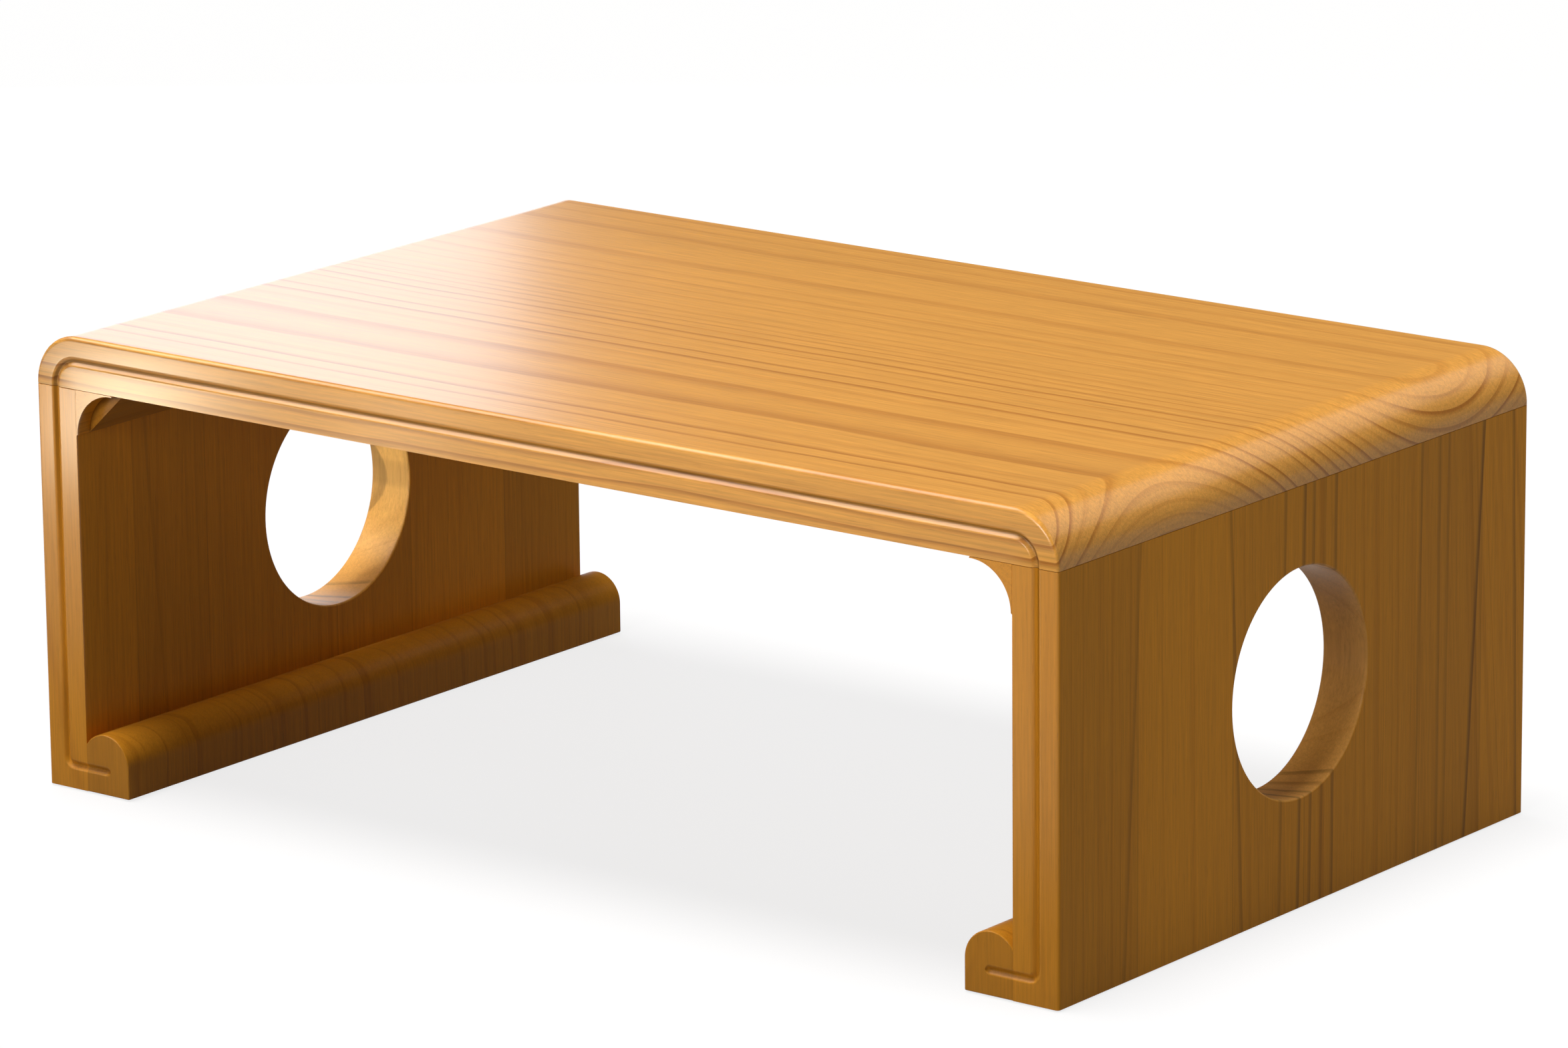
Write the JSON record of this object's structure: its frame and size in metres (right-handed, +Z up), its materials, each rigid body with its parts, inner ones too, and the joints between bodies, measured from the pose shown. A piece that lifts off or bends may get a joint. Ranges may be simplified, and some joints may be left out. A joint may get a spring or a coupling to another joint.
{
  "type": "folding low table",
  "caption": "Low wooden table with a rounded-over top on panel legs, each pierced by a round hole, that fold in flat under the top on butt hinges.",
  "frame": {"origin": "on the floor under the middle of the opened table", "axes": "+X along the top from the left leg to the right leg, +Y from the front to the back, +Z up"},
  "size_m": [0.8, 0.5, 0.3],
  "materials": {
    "top_wood": "satin lacquer",
    "panel_wood": "satin lacquer",
    "rail_wood": "satin lacquer",
    "block_wood": "satin lacquer",
    "dowel_wood": "bare",
    "hinge_steel": "brushed",
    "screw_steel": "zinc plated",
    "magnet_plating": "nickel plated",
    "felt": "felt"
  },
  "bodies": {
    "tabletop": {"top_panel": "top_wood", "left_front_hinge_top_leaf": "hinge_steel", "left_back_hinge_top_leaf": "hinge_steel", "right_front_hinge_top_leaf": "hinge_steel", "right_back_hinge_top_leaf": "hinge_steel", "left_front_hinge_pin": "hinge_steel", "left_back_hinge_pin": "hinge_steel", "right_front_hinge_pin": "hinge_steel", "right_back_hinge_pin": "hinge_steel", "left_front_hinge_top_screw_1": "screw_steel", "left_front_hinge_top_screw_2": "screw_steel", "left_back_hinge_top_screw_1": "screw_steel", "left_back_hinge_top_screw_2": "screw_steel", "right_front_hinge_top_screw_1": "screw_steel", "right_front_hinge_top_screw_2": "screw_steel", "right_back_hinge_top_screw_1": "screw_steel", "right_back_hinge_top_screw_2": "screw_steel", "left_front_catch_magnet": "magnet_plating", "left_back_catch_magnet": "magnet_plating", "right_front_catch_magnet": "magnet_plating", "right_back_catch_magnet": "magnet_plating"},
    "left_leg": {"left_side_panel": "panel_wood", "left_foot_rail": "rail_wood", "left_hinge_block": "block_wood", "left_front_hinge_leg_leaf": "hinge_steel", "left_back_hinge_leg_leaf": "hinge_steel", "left_front_hinge_leg_screw_1": "screw_steel", "left_front_hinge_leg_screw_2": "screw_steel", "left_back_hinge_leg_screw_1": "screw_steel", "left_back_hinge_leg_screw_2": "screw_steel", "left_front_catch_strike": "hinge_steel", "left_back_catch_strike": "hinge_steel", "left_front_catch_screw": "screw_steel", "left_back_catch_screw": "screw_steel", "left_front_foot_pad": "felt", "left_back_foot_pad": "felt", "left_front_rail_dowel": "dowel_wood", "left_back_rail_dowel": "dowel_wood", "left_front_block_dowel": "dowel_wood", "left_back_block_dowel": "dowel_wood"},
    "right_leg": {"right_side_panel": "panel_wood", "right_foot_rail": "rail_wood", "right_hinge_block": "block_wood", "right_front_hinge_leg_leaf": "hinge_steel", "right_back_hinge_leg_leaf": "hinge_steel", "right_front_hinge_leg_screw_1": "screw_steel", "right_front_hinge_leg_screw_2": "screw_steel", "right_back_hinge_leg_screw_1": "screw_steel", "right_back_hinge_leg_screw_2": "screw_steel", "right_front_catch_strike": "hinge_steel", "right_back_catch_strike": "hinge_steel", "right_front_catch_screw": "screw_steel", "right_back_catch_screw": "screw_steel", "right_front_foot_pad": "felt", "right_back_foot_pad": "felt", "right_front_rail_dowel": "dowel_wood", "right_back_rail_dowel": "dowel_wood", "right_front_block_dowel": "dowel_wood", "right_back_block_dowel": "dowel_wood"}
  },
  "joints": [
    {"name": "left_leg_fold", "type": "hinge", "parent": "tabletop", "child": "left_leg", "pos_m": [-0.3332, 0, 0.2631], "axis": [0, -1, 0], "range_deg": [0, 90]},
    {"name": "right_leg_fold", "type": "hinge", "parent": "tabletop", "child": "right_leg", "pos_m": [0.3332, 0, 0.2631], "axis": [0, 1, 0], "range_deg": [0, 90]}
  ]
}
